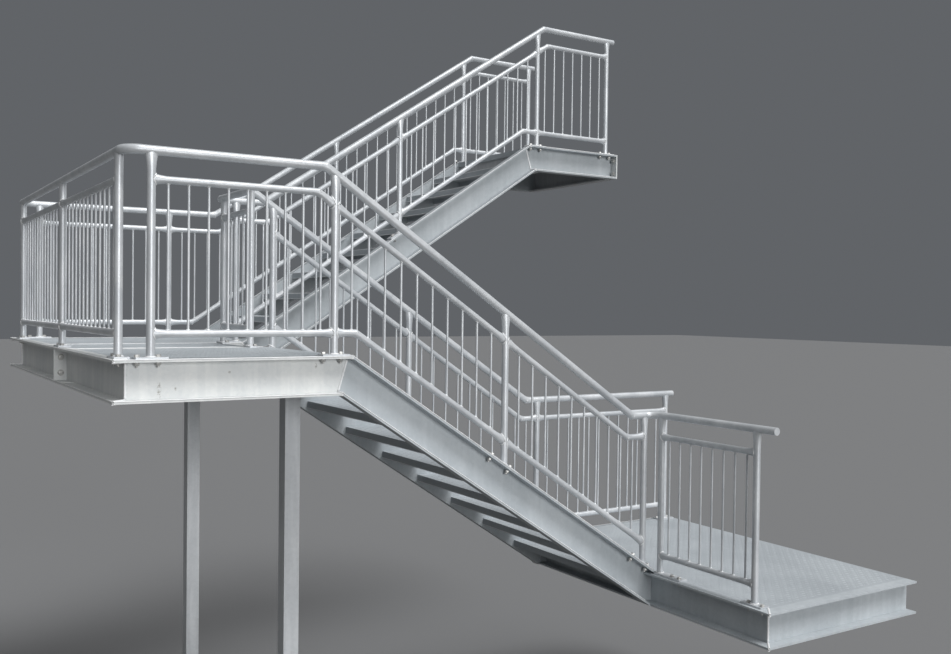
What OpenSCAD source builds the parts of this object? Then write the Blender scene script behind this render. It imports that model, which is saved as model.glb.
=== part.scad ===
/* [Rolled channel] */
// Depth of every frame channel
channel_h = 200; // [180:5:220]
// Flange width of every frame channel
flange_w = 75; // [70:1:85]
// Flange thickness of every frame channel
flange_t = 12; // [8:0.5:14]
// Web thickness of every frame channel
web_t = 6; // [4:0.5:8]
// Depth of the joists under the floors
joist_h = 100; // [80:5:120]
// Flange width of the joists
joist_w = 50; // [40:1:60]
// Thickness of the joists
joist_t = 6; // [4:0.5:8]

/* [Flights] */
// Height of one step
riser = 175; // [165:1:185]
// Depth of one step
going = 265; // [255:1:280]
// Steps from the lower landing up to the half landing
lower_risers = 8; // [7:1:9]
// Steps from the half landing up to the upper landing
upper_risers = 9; // [8:1:10]
// Clear width between the webs of one flight
clear_w = 1112; // [1000:1:1250]
// Gap between the flange tips of the two flights
well_w = 670; // [600:1:750]
// How far a tread runs on under the step above it
tread_lap = 15; // [10:1:25]
// How far the lower flight's treads are set above even steps
tread_lift = 8; // [0:1:12]
// How much further on the upper flight's treads and outer side start than its inner side
outer_on = 45; // [0:5:60]
// Plate thickness of treads and floors
plate_t = 5; // [4:0.5:8]
// Depth of the folded lips of a tread
lip_h = 42; // [30:1:50]

/* [Landings] */
// From the end of the half landing to the top knee of the lower flight
lower_knee_x = 1190; // [1150:5:1240]
// From the end of the half landing to the bottom knee of the upper flight
upper_knee_x = 1275; // [1265:5:1320]
// Length of the upper landing, from its knee to the wall
upper_landing_l = 915; // [850:5:1200]
// Length of the lower landing, from the foot of the flight to the wall
lower_landing_l = 1265; // [1100:5:1500]
// How far the lower landing reaches out beside the flight
lower_landing_out = 950; // [850:5:1100]
// Thickness of the plates that bolt to the wall
wall_plate_t = 10; // [8:1:16]
// Height between the two bolt holes of a wall plate
wall_holes = 110; // [90:5:130]
// From the half landing's near side to where its two end channels meet
end_joint = 1490; // [1300:10:1800]
// Thickness of the plates that close the end channels there
joint_plate_t = 10; // [8:1:16]
// Height between the two bolt holes of such a plate
joint_holes = 90; // [80:5:120]

/* [Columns] */
// Side of the square columns
column_w = 89; // [75:1:100]
// Wall thickness of the columns
column_wall = 5; // [3:0.5:8]
// From the half landing's top down to the ground
ground_drop = 2600; // [2200:10:3000]
// From the flange tips of the outer channel to the middle of a column
column_in = 665; // [600:5:740]
// Side of the square plates on top of the columns
cap_w = 120; // [110:2:130]
// Side of the square base plates
base_w = 220; // [200:5:260]
// Thickness of base and cap plates
base_t = 16; // [10:1:20]
// Distance between the holes of a base plate
base_holes = 150; // [140:5:160]
// Radius of the bolt holes in all plates
hole_r = 9; // [6:0.5:11]

/* [Rails] */
// Diameter of the top rail
top_d = 45; // [42:1:50]
// Diameter of the posts
post_d = 40; // [36:1:44]
// Diameter of the second and bottom rails
rail_d = 36; // [27:1:36]
// Diameter of the upright bars
bar_d = 12.5; // [10:0.5:20]
// Height of the top rail's middle over a landing
rail_h = 967; // [940:1:1050]
// Height of the top rail's middle over the lower landing
low_rail_h = 995; // [970:5:1070]
// How much closer to the channel the top rail runs along a flight
slope_less = 92; // [80:2:110]
// The same on the inner side of the upper flight
inner_slope_less = 105; // [90:1:125]
// From the top rail to the second rail, square to both
second_drop = 133; // [100:1:160]
// Height of the bottom rail's middle, square to the channel
bottom_h = 118; // [95:1:130]
// Widest spacing of the upright bars
bar_pitch = 100; // [90:1:120]
// How much closer than that the first and last bar of a landing stand to their posts
bar_inset = 18; // [0:1:30]
// From the flange tips to the line of posts and rails
rail_in = 58; // [50:1:62]
// Radius of the rounded corners of the rails, along their middle
corner_r = 80; // [70:5:90]
// Radius of the bends where a rail starts to slope
knee_r = 120; // [80:5:140]

/* [Posts] */
// Length of a post's foot plate on a landing
foot_l = 150; // [130:5:160]
// Length of a post's foot plate on a slope
slope_foot_l = 190; // [160:5:200]
// How far up the slope such a plate is set from its post
slope_shift = 20; // [0:5:30]
// Length of the foot plate of the post at the lower landing's corner
corner_foot_l = 220; // [150:5:240]
// Width of a post's foot plate
foot_w = 70; // [60:1:74]
// Thickness of a post's foot plate
foot_t = 10; // [6:1:14]
// From the half landing's end to its first post along the side
first_post = 180; // [175:5:200]
// From the half landing's side to its first post across the end
end_post = 160; // [155:5:180]
// From the half landing's side to the middle post across the end
mid_end_post = 1555; // [1450:5:1650]
// From the lower flight's top knee back to the post there
knee_post_back = 85; // [80:5:110]
// From the lower flight's foot back to the last post there
foot_post_back = 80; // [78:1:100]
// From the upper flight's top knee on to the first landing post
upper_post_on = 100; // [80:5:140]
// From the wall back to the last post of the upper landing
wall_post_back = 90; // [90:5:120]
// From the end of the well guard to its second post
guard_post_in = 145; // [120:5:200]
// Width of the foot plates of the well guard, clear of the way across the landing
guard_foot_w = 50; // [44:1:50]

/* [Hidden] */
$fn = 48;

// Heights and lengths of the two flights
slope = riser / going;
lower_drop = lower_risers * riser;
upper_rise = upper_risers * riser;
foot_x = lower_knee_x + lower_risers * going;
top_x = upper_knee_x + upper_risers * going;
wall_x = top_x + upper_landing_l;
low_wall_x = foot_x + lower_landing_l;

// Places across the tower: web backs and flange tips of the four stringers
near_back = flange_w;
inner_back = near_back + clear_w;
inner_tip = inner_back + flange_w;
upper_tip = inner_tip + well_w;
upper_back = upper_tip + flange_w;
far_back = upper_back + clear_w;
tower_w = far_back + flange_w;
out_back = flange_w - lower_landing_out;

// Beams over the columns, clear of the first tread of the lower flight
clearance = 3;
beam_back = lower_knee_x - tread_lap - clearance;
column_x = beam_back - cap_w / 2;

// Lines of the rails and places of the posts
near_y = rail_in;
lower_in_y = inner_tip - rail_in;
upper_in_y = upper_tip + rail_in;
far_y = tower_w - rail_in;
end_x = rail_in;
knee_in = channel_h * tan(atan(slope) / 2);
low_tip_x = foot_x - knee_in;
low_back_x = low_tip_x + flange_w;
low_rail_x = low_tip_x + rail_in;
knee_post = lower_knee_x - knee_post_back;
foot_post = foot_x - foot_post_back;
lower_mid_post = (knee_post + foot_post) / 2;
lower_in_post = lower_knee_x + post_d / 2;
upper_in_post = upper_knee_x - post_d / 2 - 9;
upper_post = top_x + upper_post_on;
wall_post = wall_x - wall_post_back;
upper_mid_post = (upper_in_post + upper_post) / 2;
joint = post_d / 2 + 14;
rail_end = 20;

steel = [0.72, 0.73, 0.74];
dull = [0.62, 0.64, 0.66];
plate = [0.66, 0.69, 0.72];
bright = [0.82, 0.83, 0.84];

// The tower stands with the near column's base plate on the origin
module placed() translate([-column_x, -column_in, ground_drop]) children();

// A path is a list of [x, z] points, left to right
function heading(a, b) = atan2(b[1] - a[1], b[0] - a[0]);
function at(path, x, i = 0) =
    i >= len(path) - 2 || x <= path[i + 1][0]
        ? path[i][1] + (path[i + 1][1] - path[i][1]) * (x - path[i][0]) / (path[i + 1][0] - path[i][0])
        : at(path, x, i + 1);
function part_of(path, x0, x1) = concat(
    [[x0, at(path, x0)]],
    [for (p = path) if (p[0] > x0 && p[0] < x1) p],
    [[x1, at(path, x1)]]);
function lowered_point(path, i, d) =
    let (
        last = len(path) - 1,
        a = heading(path[max(i - 1, 0)], path[max(i, 1)]),
        b = heading(path[min(i, last - 1)], path[min(i + 1, last)]),
        l = d / cos((b - a) / 2))
    [path[i][0] + l * sin((a + b) / 2), path[i][1] - l * cos((a + b) / 2)];
function lowered(path, d) = [for (i = [0 : len(path) - 1]) lowered_point(path, i, d)];
// Outline between two depths under a path, over some of its stretches
function strip(path, d0, d1, first, last) =
    let (top = lowered(path, d0), low = lowered(path, d1))
    concat([for (i = [first : last]) top[i]], [for (i = [last : -1 : first]) low[i]]);

// Top faces of the channels of both flights
lower_path = [[0, 0], [lower_knee_x, 0], [foot_x, -lower_drop], [low_wall_x, -lower_drop]];
function upper_way(on) = [[0, 0], [upper_knee_x + on, 0], [top_x + on, upper_rise], [wall_x, upper_rise]];
upper_path = upper_way(0);
outer_path = upper_way(outer_on);

// Middle lines of the rails of both flights: top, second and bottom
lower_top = [
    [0, rail_h],
    [lower_knee_x - slope_less / slope, rail_h],
    [foot_x + (rail_h - slope_less - low_rail_h) / slope, low_rail_h - lower_drop],
    [low_wall_x, low_rail_h - lower_drop]];
function upper_line(on) = [for (p = upper_way(on)) [p[0], p[1] + rail_h]];
upper_top = upper_line(inner_slope_less / slope);
outer_top = upper_line(outer_on + slope_less / slope);
lower_rails = [lower_top, lowered(lower_top, second_drop), lowered(lower_path, -bottom_h)];
upper_rails = [upper_top, lowered(upper_top, second_drop), lowered(upper_path, -bottom_h)];
outer_rails = [outer_top, lowered(outer_top, second_drop), lowered(outer_path, -bottom_h)];
landing_heights = [rail_h, rail_h - second_drop, bottom_h];
low_heights = [low_rail_h - lower_drop, low_rail_h - second_drop - lower_drop, bottom_h - lower_drop];

// Elbows are a little wider than the tubes that end inside them
elbow_in = 6;
elbow_over = 0.4;

// Stands a drawing of x and height on the line y
module along(y) translate([0, y, 0]) rotate([90, 0, 0]) children();
// Stands it on the line x, running across the tower
module across(x) translate([x, 0, 0]) rotate([90, 0, 90]) children();

// Channel along some stretches of a path, mitred where it bends or meets the next length,
// from its flange tips to its web's back
module bent_channel(path, tip, back, first, end) {
    side = sign(back - tip);
    last = is_undef(end) ? len(path) - 1 : end;
    module slab(w, d0, d1)
        along(side > 0 ? back : back + w) linear_extrude(w) polygon(strip(path, d0, d1, first, last));
    slab(web_t, 0, channel_h);
    slab(flange_w, 0, flange_t);
    slab(flange_w, channel_h - flange_t, channel_h);
}

// Section of a channel: web's back at 0, flanges to side, top at 0
module channel_section(side, h, w, f, t) {
    translate([side > 0 ? 0 : -t, -h]) square([t, h]);
    for (y = [-f, -h]) translate([side > 0 ? 0 : -w, y]) square([w, f]);
}

// Straight channel across the tower, its web's back at x
module cross_channel(x, y0, y1, z, side)
    translate([x, y1, z]) rotate([90, 0, 0]) linear_extrude(y1 - y0)
        channel_section(side, channel_h, flange_w, flange_t, web_t);

// Straight channel along the tower, its web's back at y
module long_channel(y, x0, x1, z, side)
    translate([x0, y, z]) rotate([90, 0, 90]) linear_extrude(x1 - x0)
        channel_section(side, channel_h, flange_w, flange_t, web_t);

// Small joists under a floor, across or along the tower
module cross_joist(x, y0, y1, z)
    translate([x, y1, z - plate_t]) rotate([90, 0, 0]) linear_extrude(y1 - y0)
        channel_section(1, joist_h, joist_w, joist_t, joist_t);
module long_joist(y, x0, x1, z)
    translate([x0, y, z - plate_t]) rotate([90, 0, 90]) linear_extrude(x1 - x0)
        channel_section(1, joist_h, joist_w, joist_t, joist_t);

// Prism through the depth of a channel, drawn in plan, to cut its end
module end_cut(points) translate([0, 0, -channel_h - 1]) linear_extrude(channel_h + 2) polygon(points);
far_corner = flange_w + 1;

// Tube along a path. Each bend is an elbow that the straight tubes enter a little
module tube(path, d) {
    last = len(path) - 1;
    function turn(i) = i > 0 && i < last ? heading(path[i], path[i + 1]) - heading(path[i - 1], path[i]) : 0;
    function trim(i) = knee_r * abs(tan(turn(i) / 2));
    function cut(i) = i > 0 && i < last ? trim(i) - elbow_in : 0;
    for (i = [0 : last - 1])
        translate(path[i]) rotate([0, 0, heading(path[i], path[i + 1])]) rotate([0, 90, 0])
            translate([0, 0, cut(i)]) cylinder(h = norm(path[i + 1] - path[i]) - cut(i) - cut(i + 1), d = d);
    for (i = [1 : 1 : last - 1]) {
        side = sign(turn(i));
        a = heading(path[i - 1], path[i]);
        translate(path[i] - trim(i) * [cos(a), sin(a)] + knee_r * side * [-sin(a), cos(a)])
            rotate([0, 0, side > 0 ? a - 90 : heading(path[i], path[i + 1]) + 90])
                elbow(abs(turn(i)), knee_r, d);
    }
}
module elbow(angle, r, d) rotate_extrude(angle = angle) translate([r, 0]) circle(d = d + 2 * elbow_over);

// The three rails of a balustrade; the top rail may run on past the lower two
module rails(paths, x0, x1, top_x0, top_x1) {
    tube(part_of(paths[0], is_undef(top_x0) ? x0 : top_x0, is_undef(top_x1) ? x1 : top_x1), top_d);
    for (i = [1, 2]) tube(part_of(paths[i], x0, x1), rail_d);
}

module upright(x, z0, z1, d) translate([x, z0, 0]) rotate([-90, 0, 0]) cylinder(h = z1 - z0, d = d);

// Bars that share out a bay between two posts, the outer ones closer to the posts by inset
module bars(x0, x1, paths, inset = 0) {
    n = ceil((x1 - x0 + 2 * inset) / bar_pitch);
    for (i = [1 : n - 1]) {
        x = x0 - inset + (x1 - x0 + 2 * inset) * i / n;
        upright(x, at(paths[2], x), at(paths[1], x), bar_d);
    }
}

// Post on a landing, its foot plate moved on by shift
module post(x, z, top_z, shift = 0, l = foot_l, w = foot_w) {
    upright(x, z + foot_t / 2, top_z, post_d);
    translate([x + shift - l / 2, z, -w / 2]) cube([l, foot_t, w]);
}
// Post on a flight that rises at an angle, its plate moved along the slope by shift
module slope_post(x, floor_path, paths, angle, shift) {
    z = at(floor_path, x);
    upright(x, z + foot_t / 2, at(paths[0], x), post_d);
    translate([x, z, 0]) rotate([0, 0, angle])
        translate([shift - slope_foot_l / 2, 0, -foot_w / 2]) cube([slope_foot_l, foot_t, foot_w]);
}
rise_angle = atan(slope);
module lower_post(x, shift = -slope_shift) slope_post(x, lower_path, lower_rails, -rise_angle, shift);
module upper_mid(floor_path, paths) slope_post(upper_mid_post, floor_path, paths, rise_angle, 0);

// Quarter bend of the half landing's top rail in plan, about a centre
module corner(x, y, from) translate([x, y, rail_h]) rotate([0, 0, from]) elbow(90, corner_r, top_d);

// Channels along the half landing, mitred to the stringers that go down or up from them
module side_channel(path, tip, back, from = flange_w)
    bent_channel(part_of(path, from, wall_x), tip, back, 0, 1);

module near_side_channel() placed() color(steel)
    difference() {
        side_channel(lower_path, 0, near_back, 0);
        end_cut([[-1, -1], [far_corner, far_corner], [-1, far_corner]]);
    }

module lower_inner_side_channel() placed() color(steel)
    side_channel(lower_path, inner_tip, inner_back);

module upper_inner_side_channel() placed() color(steel)
    side_channel(upper_path, upper_tip, upper_back);

module far_side_channel() placed() color(steel)
    difference() {
        side_channel(outer_path, tower_w, far_back, 0);
        translate([0, tower_w, 0]) mirror([0, 1, 0])
            end_cut([[-1, -1], [far_corner, far_corner], [-1, far_corner]]);
    }

// Stringers of the flights
module lower_outer_stringer() placed() color(steel)
    difference() {
        bent_channel(part_of(lower_path, 0, low_back_x - web_t), 0, near_back, 1);
        translate([low_tip_x, -1, -lower_drop - channel_h - 1]) {
            cube([flange_w, flange_w + 1 - web_t, channel_h + 1]);
            cube([flange_w, flange_w + 2, flange_t + 1]);
        }
        translate([low_tip_x, -1, -lower_drop - flange_t]) cube([flange_w, flange_w + 2, flange_t]);
    }

module lower_inner_stringer() placed() color(steel)
    bent_channel(part_of(lower_path, 0, low_back_x), inner_tip, inner_back, 1);

module upper_inner_stringer() placed() color(steel)
    bent_channel(part_of(upper_path, 0, wall_x - wall_plate_t), upper_tip, upper_back, 1);

module upper_outer_stringer() placed() color(steel)
    bent_channel(part_of(outer_path, 0, wall_x - wall_plate_t), tower_w, far_back, 1);

// Channels across the end of the half landing, mitred at the corners and closed by a
// plate where they meet
module end_channel(l) {
    difference() {
        cross_channel(flange_w, 0, l, 0, -1);
        end_cut([[-1, -1], [far_corner, -1], [far_corner, far_corner]]);
    }
    translate([0, l - joint_plate_t, -channel_h]) difference() {
        cube([flange_w, joint_plate_t, channel_h]);
        for (k = [-1, 1])
            translate([flange_w / 2, -1, channel_h / 2 + k * joint_holes / 2]) rotate([-90, 0, 0])
                cylinder(h = joint_plate_t + 2, r = hole_r);
    }
}
module near_end_channel() placed() color(steel) end_channel(end_joint);

module far_end_channel() placed() color(dull)
    translate([0, tower_w, 0]) mirror([0, 1, 0]) end_channel(tower_w - end_joint);

module near_column_beam() placed() color(dull)
    cross_channel(beam_back, near_back, inner_back, -plate_t, -1);

module far_column_beam() placed() color(dull)
    cross_channel(beam_back, upper_back, far_back, -plate_t, -1);

module well_edge_channel() placed() color(steel)
    cross_channel(beam_back - flange_w, inner_tip, upper_tip, 0, 1);

// Joists under the half landing
joist_step = (beam_back - 2 * flange_w) / 3;
module near_landing_joists() placed() color(dull)
    for (i = [1, 2], y = [[near_back, inner_back], [inner_tip, upper_tip]])
        cross_joist(flange_w + i * joist_step, y[0], y[1], 0);

module far_landing_joists() placed() color(dull)
    for (x = [flange_w + joist_step, flange_w + 2 * joist_step, upper_knee_x + outer_on])
        cross_joist(x, upper_back, far_back, 0);

// Floor plate with its folded lip at the end towards a flight
module floor_plate(x0, x1, y0, y1, z, lip_x)
    translate([0, y1, z]) rotate([90, 0, 0]) linear_extrude(y1 - y0) {
        translate([x0, -plate_t]) square([x1 - x0, plate_t]);
        translate([lip_x, -lip_h]) square([plate_t, lip_h]);
    }

module near_landing_floor() placed() color(plate) {
    floor_plate(flange_w, lower_knee_x, near_back, inner_back, 0, lower_knee_x - plate_t);
    translate([flange_w, inner_tip, -plate_t]) cube([beam_back - 2 * flange_w, well_w, plate_t]);
}

module far_landing_floor() placed() color(plate) {
    end = upper_knee_x + outer_on + going + tread_lap;
    floor_plate(flange_w, end, upper_back, far_back, 0, end - plate_t);
}

// Folded tread between two webs: a plate with a lip down at both edges
module tread(x, y0, z, l = going + tread_lap)
    translate([x, y0 + clear_w, z]) rotate([90, 0, 0]) linear_extrude(clear_w) difference() {
        translate([0, -lip_h]) square([l, lip_h]);
        translate([plate_t, -lip_h - 1]) square([l - 2 * plate_t, lip_h + 1 - plate_t]);
    }

// The noses of the lower flight's treads stay on the line of its channels' top faces
module lower_flight_treads() placed() color(plate)
    for (i = [1 : lower_risers]) {
        last = i == lower_risers;
        tread(lower_knee_x + (i - 1) * going - tread_lap, near_back, (last ? 0 : tread_lift) - i * riser,
            going + tread_lap - (last ? knee_in + clearance : tread_lift / slope));
    }

module upper_flight_treads() placed() color(plate)
    for (i = [1 : upper_risers - 1])
        tread(upper_knee_x + outer_on + i * going, upper_back, i * riser);

// Square hollow column with its base and cap plates
module column(y) {
    h = ground_drop - plate_t - channel_h;
    translate([column_x, y, -ground_drop]) {
        difference() {
            translate([-column_w / 2, -column_w / 2, base_t / 2]) cube([column_w, column_w, h - base_t]);
            translate([-column_w / 2 + column_wall, -column_w / 2 + column_wall, base_t])
                cube([column_w - 2 * column_wall, column_w - 2 * column_wall, h - 2 * base_t]);
        }
        difference() {
            translate([-base_w / 2, -base_w / 2, 0]) cube([base_w, base_w, base_t]);
            for (x = [-1, 1], k = [-1, 1])
                translate([x * base_holes / 2, k * base_holes / 2, -1]) cylinder(h = base_t + 2, r = hole_r);
        }
        translate([-cap_w / 2, -cap_w / 2, h - base_t]) cube([cap_w, cap_w, base_t]);
    }
}

module near_column() placed() color(bright) column(column_in);
module far_column() placed() color(bright) column(tower_w - column_in);

// Frame and floor of the lower landing
module lower_landing_edge_channel() placed() color(steel)
    translate([low_tip_x, -lower_landing_out, -lower_drop]) difference() {
        cross_channel(flange_w, 0, lower_landing_out + inner_back, 0, -1);
        end_cut([[-1, -1], [far_corner, -1], [far_corner, far_corner]]);
    }

module lower_landing_near_channel() placed() color(steel)
    translate([low_tip_x, -lower_landing_out, -lower_drop]) difference() {
        long_channel(flange_w, 0, low_wall_x - low_tip_x, 0, -1);
        end_cut([[-1, -1], [far_corner, far_corner], [-1, far_corner]]);
    }

module lower_landing_far_channel() placed() color(steel)
    long_channel(inner_back, low_back_x, low_wall_x, -lower_drop, 1);

module lower_landing_wall_channel() placed() color(dull)
    cross_channel(low_wall_x, out_back, inner_back, -lower_drop - plate_t, -1);

module lower_landing_joists() placed() color(dull) {
    n = 5;
    step = (inner_back - out_back) / n;
    for (i = [1 : n - 1])
        long_joist(out_back + step * i, low_back_x, low_wall_x - flange_w, -lower_drop);
}

module lower_landing_floor() placed() color(plate)
    translate([low_back_x, out_back, -lower_drop - plate_t])
        cube([low_wall_x - low_back_x, inner_back - out_back, plate_t]);

// Frame and floor of the upper landing
upper_floor_x = top_x + outer_on;
upper_beam_x = upper_floor_x + tread_lap + clearance;
module upper_landing_edge_beam() placed() color(dull)
    cross_channel(upper_beam_x, upper_back, far_back, upper_rise - plate_t, 1);

module upper_landing_joist() placed() color(dull)
    cross_joist((upper_beam_x + wall_x) / 2, upper_back, far_back, upper_rise);

module upper_landing_wall_beam() placed() color(dull)
    cross_channel(wall_x, upper_back, far_back, upper_rise - plate_t, -1);

module upper_landing_floor() placed() color(plate)
    floor_plate(upper_floor_x, wall_x, upper_back, far_back, upper_rise, upper_floor_x);

// Plates that close the upper stringers and bolt to the wall
module upper_wall_plates() placed() color(steel)
    for (y = [upper_tip, far_back])
        translate([wall_x - wall_plate_t, y, upper_rise - channel_h]) difference() {
            cube([wall_plate_t, flange_w, channel_h]);
            for (k = [-1, 1])
                translate([-1, flange_w / 2, channel_h / 2 + k * wall_holes / 2]) rotate([0, 90, 0])
                    cylinder(h = wall_plate_t + 2, r = hole_r);
        }

// Balustrades round the half landing
module landing_side(y, paths) along(y) {
    rails(paths, first_post, knee_post + joint, top_x0 = end_x + corner_r);
    for (x = [first_post, knee_post]) post(x, 0, at(paths[0], x));
    bars(first_post, knee_post, paths, bar_inset);
}
module near_landing_balustrade() placed() color(bright) landing_side(near_y, lower_rails);
module far_landing_balustrade() placed() color(bright) landing_side(far_y, outer_rails);

// Rounded corners of its top rail, each a length of its own between the straight ones
module corner_rails() placed() color(bright) {
    corner(end_x + corner_r, near_y + corner_r, 180);
    corner(end_x + corner_r, far_y - corner_r, 90);
}

module end_landing_balustrade() placed() color(bright) across(end_x) {
    level = [for (h = landing_heights) [[0, h], [tower_w, h]]];
    places = [end_post, mid_end_post, tower_w - end_post];
    rails(level, places[0], places[2], near_y + corner_r, far_y - corner_r);
    for (y = places) post(y, 0, rail_h);
    for (i = [0, 1]) bars(places[i], places[i + 1], level);
}

// Guard across the well, from the inner rail of the lower flight to that of the upper flight
guard_start = [lower_top[1][0] + post_d / 2, lower_in_y];
guard_end = [beam_back - rail_in + 8, upper_in_y];
guard_l = norm(guard_end - guard_start);
guard_angle = heading(guard_start, guard_end);
guard_low_z = at(lower_top, guard_start[0]);
guard_trim = corner_r * tan(guard_angle / 2);
module well_guard() placed() color(bright) {
    second = guard_l - guard_post_in;
    translate([guard_start[0], guard_start[1], 0]) rotate([0, 0, guard_angle - 90]) across(0) {
        level = [for (h = landing_heights) [[0, h], [guard_l, h]]];
        tube([[0, guard_low_z], [guard_l - guard_trim + elbow_in, rail_h]], top_d);
        for (h = [landing_heights[1], landing_heights[2]]) tube([[0, h], [second, h]], rail_d);
        post(0, 0, guard_low_z, w = guard_foot_w);
        post(second, 0, rail_h - 1, w = guard_foot_w);
        bars(0, second, level);
    }
    translate([guard_start[0], guard_start[1], guard_low_z]) sphere(d = top_d + 2 * elbow_over);
    along(lower_in_y) tube(part_of(lower_top, guard_start[0], lower_in_post - joint), top_d);
    translate([guard_end[0] + guard_trim, upper_in_y - corner_r, rail_h])
        rotate([0, 0, 90]) elbow(guard_angle, corner_r, top_d);
    along(upper_in_y)
        tube([[guard_end[0] + guard_trim - elbow_in, rail_h], [upper_in_post - joint, rail_h]], top_d);
}

// Balustrades of the flights
module lower_outer_balustrade() placed() color(bright) {
    low_corner = low_rail_x - corner_r;
    along(near_y) {
        rails(lower_rails, knee_post + joint, foot_post, top_x1 = low_corner + elbow_in);
        for (x = [lower_mid_post, foot_post]) lower_post(x);
        bars(knee_post, lower_mid_post, lower_rails);
        bars(lower_mid_post, foot_post, lower_rails);
    }
    translate([low_corner, near_y - corner_r, low_heights[0]]) elbow(90, corner_r, top_d);
    across(low_rail_x) {
        tube([[low_post_y - joint, low_heights[0]], [near_y - corner_r + elbow_in, low_heights[0]]], top_d);
        for (i = [1, 2]) tube([[low_post_y - joint, low_heights[i]], [low_post_y, low_heights[i]]], rail_d);
        post(low_post_y, -lower_drop, low_heights[0], -(corner_foot_l / 2 - post_d / 2 + 3), corner_foot_l);
    }
}
low_post_y = near_y - corner_r;

// The bottom rails of the inner panels start at once on the slope
function from_slope(path, x, s) = [path[1] + (x - path[1][0]) * [1, s], path[2], path[3]];

module lower_inner_balustrade() placed() color(bright) along(lower_in_y) {
    paths = [lower_rails[0], lower_rails[1], from_slope(lower_rails[2], lower_in_post, -slope)];
    rails(paths, lower_in_post, foot_post + joint, top_x0 = lower_in_post - joint);
    lower_post(lower_in_post, slope_foot_l / 2 - post_d / 2 / cos(rise_angle));
    for (x = [lower_mid_post, foot_post]) lower_post(x);
    bars(lower_in_post, lower_mid_post, paths);
    bars(lower_mid_post, foot_post, paths);
}

module upper_inner_balustrade() placed() color(bright) along(upper_in_y) {
    paths = [upper_rails[0], upper_rails[1], from_slope(upper_rails[2], upper_in_post, slope)];
    rails(paths, upper_in_post, upper_post - joint, top_x0 = upper_in_post - joint);
    post(upper_in_post, 0, rail_h, upper_knee_x - upper_in_post - foot_l / 2);
    upper_mid(upper_path, upper_rails);
    bars(upper_in_post, upper_mid_post, paths);
    bars(upper_mid_post, upper_post, paths);
}

module upper_outer_balustrade() placed() color(bright) along(far_y) {
    rails(outer_rails, knee_post + joint, upper_post - joint);
    upper_mid(outer_path, outer_rails);
    bars(knee_post, upper_mid_post, outer_rails);
    bars(upper_mid_post, upper_post, outer_rails);
}

// Balustrades of the upper landing, the foot plate of the first post moved on by shift
module upper_landing_side(y, paths, shift = 0) along(y) {
    rails(paths, upper_post - joint, wall_post, top_x1 = wall_x - rail_end);
    post(upper_post, upper_rise, at(paths[0], upper_post), shift);
    post(wall_post, upper_rise, upper_rise + rail_h);
    bars(upper_post, wall_post, paths, bar_inset);
}
module upper_landing_inner_balustrade() placed() color(bright)
    upper_landing_side(upper_in_y, upper_rails);
module upper_landing_outer_balustrade() placed() color(bright)
    upper_landing_side(far_y, outer_rails, outer_on / 2);

// Balustrades of the lower landing
module lower_landing_edge_balustrade() placed() color(bright) across(low_rail_x) {
    level = [for (h = low_heights) [[-lower_landing_out, h], [0, h]]];
    end = -lower_landing_out + end_post;
    rails(level, end, low_post_y - joint, top_x0 = -lower_landing_out + rail_end);
    post(end, -lower_drop, low_heights[0]);
    bars(end, low_post_y, level, bar_inset);
}

module lower_landing_inner_balustrade() placed() color(bright) along(lower_in_y) {
    last = low_wall_x - wall_post_back;
    rails(lower_rails, foot_post + joint, last, top_x1 = low_wall_x - rail_end);
    post(last, -lower_drop, low_heights[0]);
    bars(foot_post, last, lower_rails);
}

near_side_channel();
lower_inner_side_channel();
upper_inner_side_channel();
far_side_channel();
lower_outer_stringer();
lower_inner_stringer();
upper_inner_stringer();
upper_outer_stringer();
near_end_channel();
far_end_channel();
near_column_beam();
far_column_beam();
well_edge_channel();
near_landing_joists();
far_landing_joists();
near_landing_floor();
far_landing_floor();
lower_flight_treads();
upper_flight_treads();
near_column();
far_column();
lower_landing_edge_channel();
lower_landing_far_channel();
lower_landing_near_channel();
lower_landing_wall_channel();
lower_landing_joists();
lower_landing_floor();
upper_landing_edge_beam();
upper_landing_joist();
upper_landing_wall_beam();
upper_landing_floor();
upper_wall_plates();
near_landing_balustrade();
end_landing_balustrade();
far_landing_balustrade();
corner_rails();
well_guard();
lower_outer_balustrade();
lower_inner_balustrade();
upper_inner_balustrade();
upper_outer_balustrade();
upper_landing_inner_balustrade();
upper_landing_outer_balustrade();
lower_landing_edge_balustrade();
lower_landing_inner_balustrade();
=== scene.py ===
import logging
from dataclasses import dataclass
from enum import Enum
from functools import cached_property, reduce
from itertools import product
from math import atan, atan2, ceil, copysign, cos, hypot, inf, pi, radians, sin, sqrt, tan

import bmesh
import bpy
from mathutils import Matrix, Vector


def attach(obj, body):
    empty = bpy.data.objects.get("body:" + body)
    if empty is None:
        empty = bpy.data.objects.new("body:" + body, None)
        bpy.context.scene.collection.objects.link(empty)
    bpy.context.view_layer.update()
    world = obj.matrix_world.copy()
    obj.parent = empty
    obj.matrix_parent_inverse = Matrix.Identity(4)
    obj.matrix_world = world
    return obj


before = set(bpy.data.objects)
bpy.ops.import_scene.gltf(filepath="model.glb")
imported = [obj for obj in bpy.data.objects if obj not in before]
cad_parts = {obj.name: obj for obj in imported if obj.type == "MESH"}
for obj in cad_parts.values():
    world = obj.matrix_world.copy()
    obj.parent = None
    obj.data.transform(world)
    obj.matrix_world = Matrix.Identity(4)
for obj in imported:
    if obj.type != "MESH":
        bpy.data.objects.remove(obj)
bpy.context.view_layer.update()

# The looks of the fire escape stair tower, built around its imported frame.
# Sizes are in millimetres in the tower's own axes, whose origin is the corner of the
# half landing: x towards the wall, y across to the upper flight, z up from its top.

log = logging.getLogger("stair")

Pair = tuple[float, float]
Point = tuple[float, float, float]
Colour = tuple[float, float, float]
Vectors = list[Vector]
ROOT = "root"
MM = 0.001
UP = Vector((0.0, 0.0, 1.0))


# ---- sizes

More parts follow.
